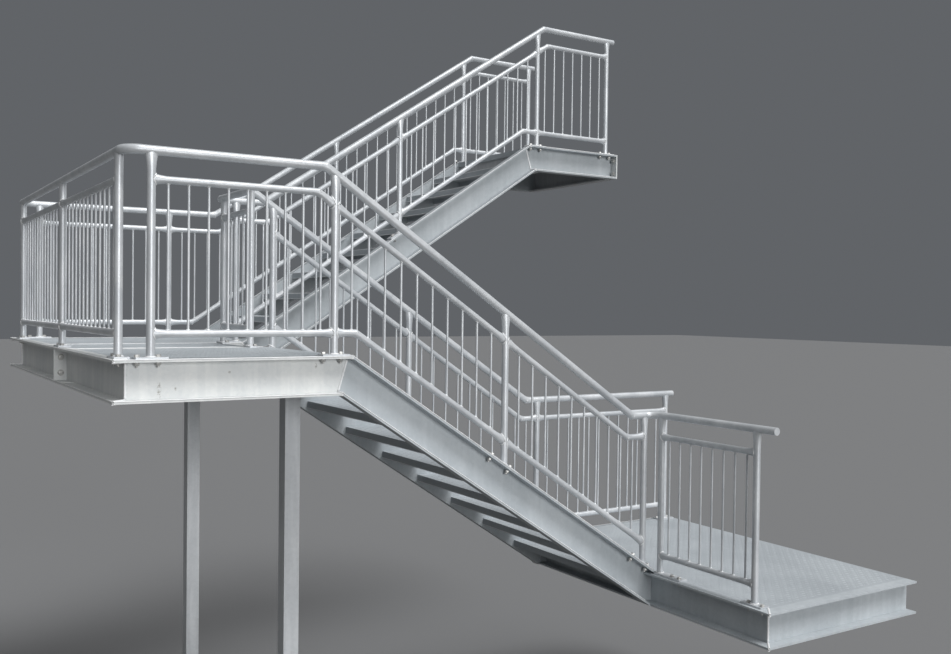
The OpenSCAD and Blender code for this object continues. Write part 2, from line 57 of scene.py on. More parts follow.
@dataclass(frozen=True)
class Line:
    """A line of x and z that runs level, slopes and runs level again."""

    points: tuple[Pair, ...]

    @classmethod
    def level(cls, z: float, reach: float = 5000.0) -> "Line":
        """A level line at z, as far as reach on both sides of the origin."""
        return cls(((-reach, z), (reach, z)))

    def _stretch(self, x: float) -> tuple[Pair, Pair]:
        """Both ends of the stretch that x is on, where the last one runs on level."""
        last = self.points[-1]
        return next((ends for ends in zip(self.points, self.points[1:]) if x <= ends[1][0]),
                    (last, (inf, last[1])))

    def height(self, x: float) -> float:
        """Height of the line at x."""
        (x0, z0), (x1, z1) = self._stretch(x)
        return z0 + (z1 - z0) * (x - x0) / (x1 - x0)

    def angle(self, x: float) -> float:
        """Angle of the line at x, in radians, positive where it climbs."""
        (x0, z0), (x1, z1) = self._stretch(x)
        return atan2(z1 - z0, x1 - x0)

    def lowered(self, drop: float) -> "Line":
        """The line moved square to itself, with mitred knees.

        Args:
            drop: How far down it moves, or up where this is negative.

        Returns:
            The moved line.
        """
        angles = [atan2(z1 - z0, x1 - x0)
                  for (x0, z0), (x1, z1) in zip(self.points, self.points[1:])]
        out = []
        for (x, z), a, b in zip(self.points, angles[:1] + angles, angles + angles[-1:]):
            reach = drop / cos((b - a) / 2)
            out.append((x + reach * sin((a + b) / 2), z - reach * cos((a + b) / 2)))
        return Line(tuple(out))


Rails = tuple[Line, Line, Line]


@dataclass(frozen=True)
class Tower:
    """The stair's sizes that the looks need, in millimetres."""

    channel: float = 200
    flange_w: float = 75
    flange_t: float = 12
    web_t: float = 6
    riser: float = 175
    going: float = 265
    clear_w: float = 1112
    well_w: float = 670
    tread_lap: float = 15
    tread_lift: float = 8
    outer_on: float = 45
    lip_h: float = 42
    lower_knee: float = 1190
    upper_knee: float = 1275
    lower_steps: int = 8
    upper_steps: int = 9
    upper_landing: float = 915
    lower_landing: float = 1265
    lower_out: float = 950
    ground: float = 2600
    column_in: float = 665
    cap_w: float = 120
    post_d: float = 40
    rail_d: float = 36
    top_d: float = 45
    bar_d: float = 12.5
    rail_h: float = 967
    low_rail_h: float = 995
    slope_h: float = 875
    inner_slope_h: float = 862
    second_drop: float = 133
    bottom_h: float = 118
    bar_pitch: float = 100
    bar_inset: float = 18
    rail_in: float = 58
    corner_r: float = 80
    foot_t: float = 10
    # How far posts stand from ends, knees and walls
    first_post: float = 180
    end_post: float = 160
    middle_post: float = 1555
    knee_post: float = 85
    foot_post: float = 80
    top_post: float = 100
    wall_post: float = 90
    guard_post: float = 145
    inner_gap: float = 9
    guard_on: float = 8
    # Where the two bolts of a foot plate are along it
    on_level: Pair = (-64.0, 33.0)
    on_lower: Pair = (-96.0, 25.0)
    on_upper: Pair = (-62.0, 62.0)
    on_end: Pair = (-50.0, 50.0)
    on_lower_start: Pair = (38.0, 130.0)
    on_upper_start: Pair = (-92.0, 10.0)
    on_edge_end: Pair = (-178.0, -118.0)

    @property
    def slope(self) -> float:
        """Rise of the flights over their run."""
        return self.riser / self.going

    @property
    def rise_angle(self) -> float:
        """Angle of the flights, in radians."""
        return atan(self.slope)

    @property
    def foot_x(self) -> float:
        """Where the lower flight meets the lower landing."""
        return self.lower_knee + self.lower_steps * self.going

    @property
    def top_x(self) -> float:
        """Where the upper flight meets the upper landing."""
        return self.upper_knee + self.upper_steps * self.going

    @property
    def wall_x(self) -> float:
        """Face of the wall at the upper landing."""
        return self.top_x + self.upper_landing

    @property
    def low_wall_x(self) -> float:
        """Far end of the lower landing."""
        return self.foot_x + self.lower_landing

    @property
    def lower_drop(self) -> float:
        """Depth of the lower landing under the half landing."""
        return self.lower_steps * self.riser

    @property
    def upper_rise(self) -> float:
        """Height of the upper landing over the half landing."""
        return self.upper_steps * self.riser

    @property
    def inner_back(self) -> float:
        """Back of the lower flight's inner web."""
        return self.flange_w + self.clear_w

    @property
    def inner_tip(self) -> float:
        """Flange tips of the lower flight's inner stringer."""
        return self.inner_back + self.flange_w

    @property
    def upper_tip(self) -> float:
        """Flange tips of the upper flight's inner stringer."""
        return self.inner_tip + self.well_w

    @property
    def upper_back(self) -> float:
        """Back of the upper flight's inner web."""
        return self.upper_tip + self.flange_w

    @property
    def far_back(self) -> float:
        """Back of the upper flight's outer web."""
        return self.upper_back + self.clear_w

    @property
    def width(self) -> float:
        """Whole width of the tower."""
        return self.far_back + self.flange_w

    @property
    def beam_back(self) -> float:
        """Back of the beams over the columns."""
        return self.lower_knee - self.tread_lap - 3

    @property
    def column_x(self) -> float:
        """Middle of the columns."""
        return self.beam_back - self.cap_w / 2

    @property
    def low_tip(self) -> float:
        """Flange tips of the channel along the lower landing's edge."""
        return self.foot_x - self.channel * tan(self.rise_angle / 2)

    @property
    def lower_path(self) -> Line:
        """Top of the lower flight's stringers."""
        return Line(((0, 0), (self.lower_knee, 0), (self.foot_x, -self.lower_drop),
                     (self.low_wall_x, -self.lower_drop)))

    def upper_way(self, on: float = 0.0, up: float = 0.0) -> Line:
        """The upper flight's line, moved on along x and up."""
        return Line(((0, up), (self.upper_knee + on, up), (self.top_x + on, self.upper_rise + up),
                     (self.wall_x, self.upper_rise + up)))

    @property
    def lower_rails(self) -> Rails:
        """The rails of the lower flight.

        Returns:
            Top, second and bottom rail.
        """
        low = self.low_rail_h - self.lower_drop
        top = Line(((0, self.rail_h),
                    (self.lower_knee - (self.rail_h - self.slope_h) / self.slope, self.rail_h),
                    (self.foot_x + (self.slope_h - self.low_rail_h) / self.slope, low),
                    (self.low_wall_x, low)))
        return top, top.lowered(self.second_drop), self.lower_path.lowered(-self.bottom_h)

    def upper_rails(self, on: float, height: float) -> Rails:
        """Top, second and bottom rail of one side of the upper flight."""
        top = self.upper_way(on + (self.rail_h - height) / self.slope, self.rail_h)
        return top, top.lowered(self.second_drop), self.upper_way(on).lowered(-self.bottom_h)

    def level_rails(self, height: float, base: float = 0.0) -> Rails:
        """Top, second and bottom rail of a level side."""
        return tuple(Line.level(base + h)
                     for h in (height, height - self.second_drop, self.bottom_h))


TOWER = Tower()


def row(p: Point | Vector) -> Vector:
    """A point of the tower's axes, in the row frame and in metres."""
    origin = Vector((TOWER.column_x, TOWER.column_in, -TOWER.ground))
    return (Vector(p) - origin) * MM


def turn(count: int) -> list[Pair]:
    """Cosine and sine of even steps round a circle."""
    return [(cos(a), sin(a)) for a in (2 * pi * k / count for k in range(count))]


def put(name: str, data: bpy.types.ID) -> bpy.types.Object:
    """Makes an object and links it to the scene.

    Args:
        name: Its name.
        data: Its mesh, lamp or camera.

    Returns:
        The object.
    """
    made = bpy.data.objects.new(name, data)
    bpy.context.scene.collection.objects.link(made)
    return made


# ---- shader graph

class Signal:
    """One output socket of a graph's nodes, with arithmetic that adds Math nodes."""

    def __init__(self, graph: "Graph", socket: bpy.types.NodeSocket | None) -> None:
        """Wraps a socket of a graph."""
        self.graph = graph
        self.socket = socket

    def _math(self, operation: str, *values: "Signal | float") -> "Signal":
        """Adds a Math node over some values."""
        return self.graph.node("ShaderNodeMath", {"operation": operation},
                               dict(enumerate(values)))

    def __add__(self, other: "Signal | float") -> "Signal":
        """Sum."""
        return self._math("ADD", self, other)

    __radd__ = __add__

    def __sub__(self, other: "Signal | float") -> "Signal":
        """Difference."""
        return self._math("SUBTRACT", self, other)

    def __rsub__(self, other: float) -> "Signal":
        """Difference from a number."""
        return self._math("SUBTRACT", other, self)

    def __mul__(self, other: "Signal | float") -> "Signal":
        """Product."""
        return self._math("MULTIPLY", self, other)

    __rmul__ = __mul__

    def high(self, other: "Signal | float") -> "Signal":
        """The larger of two values."""
        return self._math("MAXIMUM", self, other)

    def low(self, other: "Signal | float") -> "Signal":
        """The smaller of two values."""
        return self._math("MINIMUM", self, other)

    def ease(self, start: float, end: float, low: float = 0.0, high: float = 1.0) -> "Signal":
        """Rises smoothly from low at start to high at end."""
        return self.graph.node(
            "ShaderNodeMapRange", {"interpolation_type": "SMOOTHSTEP"},
            {"Value": self, "From Min": start, "From Max": end, "To Min": low, "To Max": high})

    def spread(self, low: float, high: float) -> "Signal":
        """Maps 0 to 1 on to low to high."""
        return self * (high - low) + low


class Graph:
    """The nodes of one material or world."""

    def __init__(self, owner: bpy.types.Material | bpy.types.World) -> None:
        """Starts with no nodes.

        Args:
            owner: The material or world that has them.
        """
        owner.use_nodes = True
        self.owner = owner
        self.tree = owner.node_tree
        self.tree.nodes.clear()

    def node(self, kind: str, settings: dict | None = None, inputs: dict | None = None,
             output: str | int = 0) -> Signal:
        """Adds a node.

        Args:
            kind: The node's type.
            settings: Its own settings, which are set first.
            inputs: Values or signals by socket name or place, colours without alpha.
            output: Name or place of the output to give back.

        Returns:
            The output as a signal, which is empty where the node has none.
        """
        made = self.tree.nodes.new(kind)
        for key, value in (settings or {}).items():
            setattr(made, key, value)
        for key, value in (inputs or {}).items():
            socket = made.inputs[key]
            if isinstance(value, Signal):
                self.tree.links.new(value.socket, socket)
            else:
                socket.default_value = (*value, 1.0) if socket.type == "RGBA" else value
        return Signal(self, made.outputs[output] if made.outputs else None)

    @cached_property
    def place(self) -> Signal:
        """Place on the object, in metres in the row frame."""
        return self.node("ShaderNodeTexCoord", output="Object")

    def vector(self, operation: str, *values: "Signal | Point", output: str | int = 0) -> Signal:
        """Adds a Vector Math node over some values."""
        return self.node("ShaderNodeVectorMath", {"operation": operation},
                         dict(enumerate(values)), output)

    def seen_by(self, *kinds: str) -> Signal:
        """1 for rays of the given kinds, else 0."""
        return reduce(Signal.high, (self.node("ShaderNodeLightPath", output=f"Is {kind} Ray")
                                    for kind in kinds))

    def noise(self, scale: float, detail: float = 3.0, vector: Signal | None = None,
              rough: float = 0.5) -> Signal:
        """Soft noise from 0 to 1."""
        return self.node("ShaderNodeTexNoise", {"noise_dimensions": "3D"},
                         {"Vector": vector or self.place, "Scale": scale, "Detail": detail,
                          "Roughness": rough}, "Fac")

    def flakes(self, scale: float) -> Signal:
        """A random value for each flake of a cell pattern."""
        cells = self.node("ShaderNodeTexVoronoi", {"voronoi_dimensions": "3D"},
                          {"Vector": self.place, "Scale": scale}, "Color")
        return self.node("ShaderNodeSeparateColor", None, {0: cells}, "Red")

    def mix(self, low: "Signal | Colour", high: "Signal | Colour", factor: Signal) -> Signal:
        """Blend of two colours, whose sockets come after those of numbers and vectors."""
        return self.node("ShaderNodeMix", {"data_type": "RGBA"}, {0: factor, 6: low, 7: high}, 2)

    def finish(self, **sockets: "Signal | float") -> bpy.types.Material:
        """Ends the material in a Principled BSDF.

        Args:
            sockets: Values or signals by socket name, with underscores for its spaces.

        Returns:
            The material.
        """
        names = {key.replace("_", " "): value for key, value in sockets.items()}
        shader = self.node("ShaderNodeBsdfPrincipled", None, names, "BSDF")
        self.node("ShaderNodeOutputMaterial", None, {"Surface": shader})
        return self.owner


# ---- finishes

@dataclass(frozen=True)
class Cloud:
    """Noise that rises smoothly from 0 to 1 between two of its values."""

    scale: float
    detail: float = 5.0
    rough: float = 0.55
    start: float = 0.30
    end: float = 0.70

    def on(self, g: Graph, vector: Signal | None = None) -> Signal:
        """The noise in a graph, at the object's place or at another vector."""
        return g.noise(self.scale, self.detail, vector, self.rough).ease(self.start, self.end)


@dataclass(frozen=True)
class Zinc:
    """Hot-dip galvanised steel: cloudy grey zinc with faint flakes, runs and pale bloom."""

    name: str
    slot: str = "galvanised_channel"
    pale: Colour = (0.70, 0.71, 0.70)
    dull: Colour = (0.52, 0.545, 0.555)
    bloom: Colour = (0.78, 0.78, 0.76)
    speck: Colour = (0.22, 0.215, 0.20)
    dirt: Colour = (0.20, 0.19, 0.165)
    clouds: Cloud = Cloud(2.3)
    run_clouds: Cloud = Cloud(1.0, 3.0, 0.5, 0.42, 0.72)
    bloom_clouds: Cloud = Cloud(6.5, 6.0, 0.68, 0.60, 0.78)
    specks: Cloud = Cloud(55.0, 4.0, 0.7, 0.66, 0.74)
    speck_patches: Cloud = Cloud(3.1, 3.0, 0.5, 0.45, 0.65)
    dirt_clouds: Cloud = Cloud(95.0, 4.0, 0.7, 0.46, 0.60)
    run_stretch: Point = (26.0, 26.0, 2.2)
    flake_scale: float = 62.0
    fine_scale: float = 420.0
    dent_scale: float = 38.0
    # Shares in the tone
    flake: float = 0.22
    runs: float = 0.25
    bloom_share: float = 0.55
    speck_share: float = 0.35
    dirt_share: float = 0.75
    dirt_core: float = 0.35
    # Shares in roughness and bump
    flake_rough: float = 0.45
    fine_rough: float = 0.25
    bloom_rough: float = 0.5
    fine_bump: float = 0.5
    dent_bump: float = 1.6
    metallic: float = 0.1
    specular: float = 0.3
    rough: Pair = (0.42, 0.60)
    grain: float = 0.00012
    marks: tuple[tuple[Point, Point], ...] = ()

    def material(self) -> bpy.types.Material:
        """Builds the finish once.

        Returns:
            Its material.
        """
        made = bpy.data.materials.get(self.name)
        if made:
            return made
        g = Graph(bpy.data.materials.new(self.name))
        cloud = self.clouds.on(g)
        flake = g.flakes(self.flake_scale)
        run = self.run_clouds.on(g, g.vector("MULTIPLY", g.place, self.run_stretch))
        tone = cloud * (1 - self.flake - self.runs) + flake * self.flake + run * self.runs
        bloom = self.bloom_clouds.on(g) * self.bloom_share
        colour = g.mix(g.mix(self.dull, self.pale, tone), self.bloom, bloom)
        speck = self.specks.on(g) * self.speck_patches.on(g)
        colour = g.mix(colour, self.speck, speck * self.speck_share)
        for centre, reach in self.marks:
            off = g.vector("SUBTRACT", g.place, tuple(row(centre)))
            near = g.vector("DIVIDE", off, tuple(r * MM for r in reach))
            far = g.vector("LENGTH", near, output="Value")
            dirt = (1 - far.ease(self.dirt_core, 1.0)) * self.dirt_clouds.on(g)
            colour = g.mix(colour, self.dirt, dirt * self.dirt_share)
        fine = g.noise(self.fine_scale, 2.0)
        rough = flake * self.flake_rough + fine * self.fine_rough + bloom * self.bloom_rough
        height = fine * self.fine_bump + g.noise(self.dent_scale, 3.0) * self.dent_bump
        normal = g.node("ShaderNodeBump", None, {"Height": height, "Distance": self.grain,
                                                 "Strength": 1.0}, "Normal")
        return g.finish(Base_Color=colour, Roughness=rough.low(1.0).spread(*self.rough),
                        Metallic=self.metallic, Specular_IOR_Level=self.specular, Normal=normal)


class Finish(Enum):
    """The finishes of the stair, one for each way the zinc looks; darker copies of the channel
    zinc paint shade on the flights and columns.
    """

    CHANNEL = Zinc("zinc_channel", pale=(0.72, 0.73, 0.72),
                   dull=(0.54, 0.565, 0.575),
                   marks=(((222, 69, -148), (15, 30, 52)), ((300, 69, -142), (7, 30, 12)),
                          ((1010, 69, -45), (10, 30, 22)), ((560, 69, -70), (9, 30, 9))))
    # Darker copy of the channel zinc for the lower flight and lower landing: painted shade.
    SHADED_FLIGHT = Zinc("zinc_flight_channel_painted_shade", pale=(0.52, 0.555, 0.58),
                  dull=(0.39, 0.425, 0.45), bloom=(0.60, 0.62, 0.63))
    # Darker still for the upper flight's stringers: painted shade, darker further from the light.
    SHADED_UPPER = Zinc("zinc_upper_channel_painted_shade", pale=(0.45, 0.48, 0.50),
                 dull=(0.335, 0.365, 0.385), bloom=(0.52, 0.535, 0.545))
    BEAM = Zinc("zinc_beam", "galvanised_beam", pale=(0.50, 0.51, 0.52),
                dull=(0.36, 0.37, 0.385), runs=0.35)
    # Darker copy of the zinc for the columns: painted shade from the landing above.
    SHADED_COLUMN = Zinc("zinc_column_painted_shade", "galvanised_column", pale=(0.58, 0.60, 0.62),
                  dull=(0.42, 0.44, 0.46), runs=0.4)
    FLOOR = Zinc("zinc_floor_plate", "galvanised_floor_plate", pale=(0.44, 0.475, 0.50),
                 dull=(0.35, 0.38, 0.405), bloom=(0.51, 0.54, 0.56), flake_scale=85.0, runs=0.1)
    TUBE = Zinc("zinc_tube", "galvanised_tube", pale=(0.64, 0.66, 0.68), dull=(0.46, 0.485, 0.51),
                bloom=(0.72, 0.72, 0.71), clouds=Cloud(4.5), flake=0.15, runs=0.15, metallic=0.3,
                rough=(0.34, 0.48))
    # Pale zinc for the welds, also laid on flange and tread edges as painted highlight lines.
    WELD_AND_HIGHLIGHT = Zinc("zinc_weld_and_painted_highlight", pale=(0.86, 0.87, 0.88),
                dull=(0.70, 0.71, 0.72), flake=0.3, rough=(0.36, 0.55), grain=0.0004)
    BOLT = Zinc("zinc_bolt", pale=(0.62, 0.62, 0.60),
                dull=(0.30, 0.30, 0.295), clouds=Cloud(30.0), metallic=0.3, rough=(0.24, 0.40))

    @property
    def slot(self) -> str:
        """The record's slot of this finish."""
        return self.value.slot

    def material(self) -> bpy.types.Material:
        """The finish's material."""
        return self.value.material()


# ---- meshes

class Skin:
    """The faces of one piece, gathered from many small forms in tower millimetres."""

    ripple: float = 0.12
    ripple_turn: float = 2.4

    def __init__(self) -> None:
        """Starts with no faces."""
        self.points: Vectors = []
        self.faces: list[tuple[int, ...]] = []

    def loft(self, rings: list[Vectors], round_: bool = False) -> None:
        """Skins rings of as many points each.

        Args:
            rings: The rings in order.
            round_: Whether the last ring joins the first, instead of lids at both ends.
        """
        base, n, last = len(self.points), len(rings[0]), len(rings) - 1
        for ring in rings:
            self.points.extend(ring)
        for i in range(last + 1 if round_ else last):
            a, b = base + i * n, base + ((i + 1) % len(rings)) * n
            for k in range(n):
                m = (k + 1) % n
                self.faces.append((a + k, a + m, b + m, b + k))
        if not round_:
            self.faces.append(tuple(base + k for k in reversed(range(n))))
            self.faces.append(tuple(base + last * n + k for k in range(n)))

    def turned(self, centre: Vector, axis: Vector, profile: list[Pair], sides: int) -> None:
        """Turns a profile round an axis.

        Args:
            centre: The point of the axis at height 0.
            axis: Its direction.
            profile: Radius and height of each ring.
            sides: How many sides the form has.
        """
        axis = axis.normalized()
        side = axis.orthogonal().normalized()
        other = axis.cross(side)
        self.loft([[centre + axis * height + (side * c + other * s) * radius
                    for c, s in turn(sides)] for radius, height in profile])

    def bead(self, points: Vectors, radius: float, sides: int = 6, round_: bool = False) -> None:
        """Runs a thin, slightly rippled bead along points.

        Args:
            points: Its middle line.
            radius: Its radius.
            sides: How many sides it has.
            round_: Whether it comes back to its start.
        """
        rings = []
        last = len(points) - 1
        for i, p in enumerate(points):
            if round_:
                way = points[(i + 1) % len(points)] - points[i - 1]
            else:
                way = points[min(i + 1, last)] - points[max(i - 1, 0)]
            way.normalize()
            side = way.cross(UP if abs(way.z) < 0.9 else Vector((1, 0, 0))).normalized()
            up = side.cross(way)
            wave = 1.0 + self.ripple * sin(i * self.ripple_turn)
            rings.append([p + (side * c + up * s) * radius * wave for c, s in turn(sides)])
        self.loft(rings, round_)

    def piece(self, name: str, finish: Finish, angle: float = 60.0) -> bpy.types.Object:
        """Makes the piece, rides it on the frame and dresses it.

        Args:
            name: Name of the piece.
            finish: Its finish.
            angle: Edges sharper than this, in degrees, stay sharp.

        Returns:
            The object.
        """
        mesh = bpy.data.meshes.new(name)
        mesh.from_pydata([row(p) for p in self.points], [], self.faces)
        work = bmesh.new()
        work.from_mesh(mesh)
        bmesh.ops.recalc_face_normals(work, faces=work.faces)
        work.to_mesh(mesh)
        work.free()
        mesh.shade_smooth()
        mesh.set_sharp_from_angle(angle=radians(angle))
        mesh.materials.append(finish.material())
        made = put(name, mesh)
        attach(made, ROOT)
        finish.slot
        log.info("%s: %d faces", name, len(mesh.polygons))
        return made


# ---- the stair's pieces

@dataclass(frozen=True)
class Side:
    """A balustrade in its upright plane, where u runs along it and z up.

    Its foot plates have their bolts on one face of that plane, 1 or -1.
    """

    name: str
    face: int
    start: Point
    way: Point
    rails: Rails
    floor: Line
    posts: tuple[float, ...]
    insets: tuple[float, ...]
    bolts: tuple[Pair, ...]

    @property
    def out(self) -> Vector:
        """The direction square to the plane."""
        return Vector((-self.way[1], self.way[0], 0))

    def at(self, u: float, z: float, out: float = 0.0) -> Vector:
        """A point of the side, some way out of its plane."""
        return Vector(self.start) + Vector(self.way) * u + self.out * out + UP * z

    def bars(self) -> list[float]:
        """Spreads the upright bars evenly between the posts.

        Returns:
            Where they stand along the side.
        """
        out = []
        for u0, u1, inset in zip(self.posts, self.posts[1:], self.insets):
            u0, u1 = u0 - inset, u1 + inset
            n = ceil((u1 - u0) / TOWER.bar_pitch)
            out += [u0 + (u1 - u0) * i / n for i in range(1, n)]
        return out


def steep(rails: Rails, x: float) -> Rails:
    """Rails whose bottom rail starts at once on the slope.

    Args:
        rails: The rails.
        x: Where the bottom rail starts.

    Returns:
        The changed rails.
    """
    (x1, z1), (x2, z2) = rails[2].points[1:3]
    start = (x, z1 + (x - x1) * (z2 - z1) / (x2 - x1))
    return rails[0], rails[1], Line((start, *rails[2].points[2:]))


def balustrades(t: Tower) -> list[Side]:
    """Every side of the rails, as the frame has them.

    Args:
        t: The tower's sizes.

    Returns:
        The sides.
    """
    inner, upper, far = t.inner_tip - t.rail_in, t.upper_tip + t.rail_in, t.width - t.rail_in
    knee_post, foot_post = t.lower_knee - t.knee_post, t.foot_x - t.foot_post
    lower_mid, in_post = (knee_post + foot_post) / 2, t.lower_knee + t.post_d / 2
    up_in, up_post = t.upper_knee - t.post_d / 2 - t.inner_gap, t.top_x + t.top_post
    up_mid, last = (up_in + up_post) / 2, t.wall_x - t.wall_post
    along, across = (1.0, 0.0, 0.0), (0.0, 1.0, 0.0)
    flat, up = t.on_level, t.on_upper
    down = tuple(k / cos(t.rise_angle) for k in t.on_lower)
    lower, outer = t.lower_rails, t.upper_rails(t.outer_on, t.slope_h)
    guard_start = Vector((lower[0].points[1][0] + t.post_d / 2, inner, 0))
    guard = Vector((t.beam_back - t.rail_in + t.guard_on, upper, 0)) - guard_start
    return [
        Side("near", -1, (0, t.rail_in, 0), along, lower, t.lower_path,
             (t.first_post, knee_post, lower_mid, foot_post), (t.bar_inset, 0, 0),
             (flat, flat, down, down)),
        Side("far", 1, (0, far, 0), along, outer, t.upper_way(t.outer_on),
             (t.first_post, knee_post, up_mid, up_post, last), (t.bar_inset, 0, 0, t.bar_inset),
             (flat, flat, up, flat, flat)),
        Side("lower_inner", 1, (0, inner, 0), along, steep(lower, in_post), t.lower_path,
             (in_post, lower_mid, foot_post, t.low_wall_x - t.wall_post), (0, 0, 0),
             (t.on_lower_start, down, down, flat)),
        Side("upper_inner", -1, (0, upper, 0), along,
             steep(t.upper_rails(0.0, t.inner_slope_h), up_in), t.upper_way(),
             (up_in, up_mid, up_post, last), (0, 0, t.bar_inset),
             (t.on_upper_start, up, flat, flat)),
        Side("end", 1, (t.rail_in, 0, 0), across, t.level_rails(t.rail_h), Line.level(0.0),
             (t.end_post, t.middle_post, t.width - t.end_post), (0, 0), (t.on_end,) * 3),
        Side("guard", -1, tuple(guard_start), tuple(guard.normalized()), t.level_rails(t.rail_h),
             Line.level(0.0), (0, guard.length - t.guard_post), (0,), (flat, flat)),
        Side("lower_edge", 1, (t.low_tip + t.rail_in, 0, 0), across,
             t.level_rails(t.low_rail_h, -t.lower_drop), Line.level(-t.lower_drop),
             (t.end_post - t.lower_out, t.rail_in - t.corner_r), (t.bar_inset,),
             (flat, t.on_edge_end)),
    ]


@dataclass
class TubeEnds:
    """The pressed ends of posts and rails, a little wider than the tubes they belong to."""

    post_len: float = 92.0
    post_wide: float = 12.0
    rail_len: float = 60.0
    rail_wide: float = 8.0
    skin_over: float = 0.35
    post_in: float = 0.3
    rail_in: float = 4.0
    steps: int = 7
    sides: int = 24

    def _ring(self, side: Side, u: float, z: float, axis: Pair, thin: float,
              grow: float) -> Vectors:
        """A ring about a tube.

        Args:
            side: The tube's side.
            u: Place along the side.
            z: Height.
            axis: The ring's wide axis, along the side and up.
            thin: The tube's radius.
            grow: How much wider the ring is on its wide axis.

        Returns:
            The ring's points.
        """
        thin, (du, dz) = thin + self.skin_over, axis
        return [side.at(u + du * w, z + dz * w, s * thin)
                for w, s in ((c * (thin + grow), s) for c, s in turn(self.sides))]

    def _side(self, side: Side) -> None:
        """The ends of one side.

        Args:
            side: The side.
        """
        t, shares = TOWER, [i / self.steps for i in range(self.steps + 1)]
        skin = Skin()
        for u in side.posts:
            slope = tan(side.rails[0].angle(u))
            low = side.rails[0].height(u) - t.top_d / 2 - self.post_len
            skin.loft([self._ring(side, u, low + f * (self.post_len + t.top_d * self.post_in),
                                  (1.0, slope * f), t.post_d / 2, self.post_wide * f * f)
                       for f in shares])
            for line, way in product(side.rails[1:], (-1, 1)):
                tip = u + way * (t.post_d / 2 - self.rail_in)
                base = u + way * (t.post_d / 2 + self.rail_len)
                if side.posts[0] < base < side.posts[-1]:
                    spots = [(base + (tip - base) * f, self.rail_wide * f * f) for f in shares]
                    skin.loft([self._ring(side, x, line.height(x),
                                          (-sin(line.angle(x)), cos(line.angle(x))),
                                          t.rail_d / 2, grow) for x, grow in spots])
        skin.piece(side.name + "_tube_ends", Finish.TUBE)

    def build(self, sides: list[Side]) -> None:
        """One piece of pressed ends for each side."""
        for side in sides:
            self._side(side)


@dataclass
class Mitres:
    """The knees of the rails, where two straight tubes meet in a mitre with a fine weld."""

    reach: float = 56.0
    over: float = 0.7
    bead: float = 1.8
    clear: float = 40.0
    sides: int = 28

    def _knee(self, tubes: Skin, welds: Skin, side: Side, line: Line, i: int, r: float) -> None:
        """The knee at one point of a rail.

        Args:
            tubes: Where the sleeves go.
            welds: Where the weld goes.
            side: The rail's side.
            line: The rail.
            i: Which of its points.
            r: Its radius.
        """
        before, at, after = (Vector(p) for p in line.points[i - 1:i + 2])
        before, after = (at - before).normalized(), (after - at).normalized()
        square = (before + after).normalized().orthogonal() / cos(before.angle(after) / 2)
        r, rings = r + self.over, []
        for centre, across in ((at - before * self.reach, before.orthogonal()), (at, square),
                               (at + after * self.reach, after.orthogonal())):
            flat = [(centre + across * c * r, s * r) for c, s in turn(self.sides)]
            rings.append([side.at(p.x, p.y, out) for p, out in flat])
        tubes.loft(rings[:2])
        tubes.loft(rings[1:])
        welds.bead(rings[1], self.bead, 5, True)

    def build(self, sides: list[Side]) -> None:
        """The knees of every side that has some.

        Args:
            sides: The sides.
        """
        tubes, welds = Skin(), Skin()
        for side in sides:
            start, end = side.posts[0] + self.clear, side.posts[-1] - self.clear
            for line, d in zip(side.rails, (TOWER.top_d, TOWER.rail_d, TOWER.rail_d)):
                for i, (x, _) in enumerate(line.points[1:-1], 1):
                    if start < x < end:
                        self._knee(tubes, welds, side, line, i, d / 2)
        tubes.piece("rail_knees", Finish.TUBE)
        welds.piece("rail_knee_beads", Finish.WELD_AND_HIGHLIGHT)


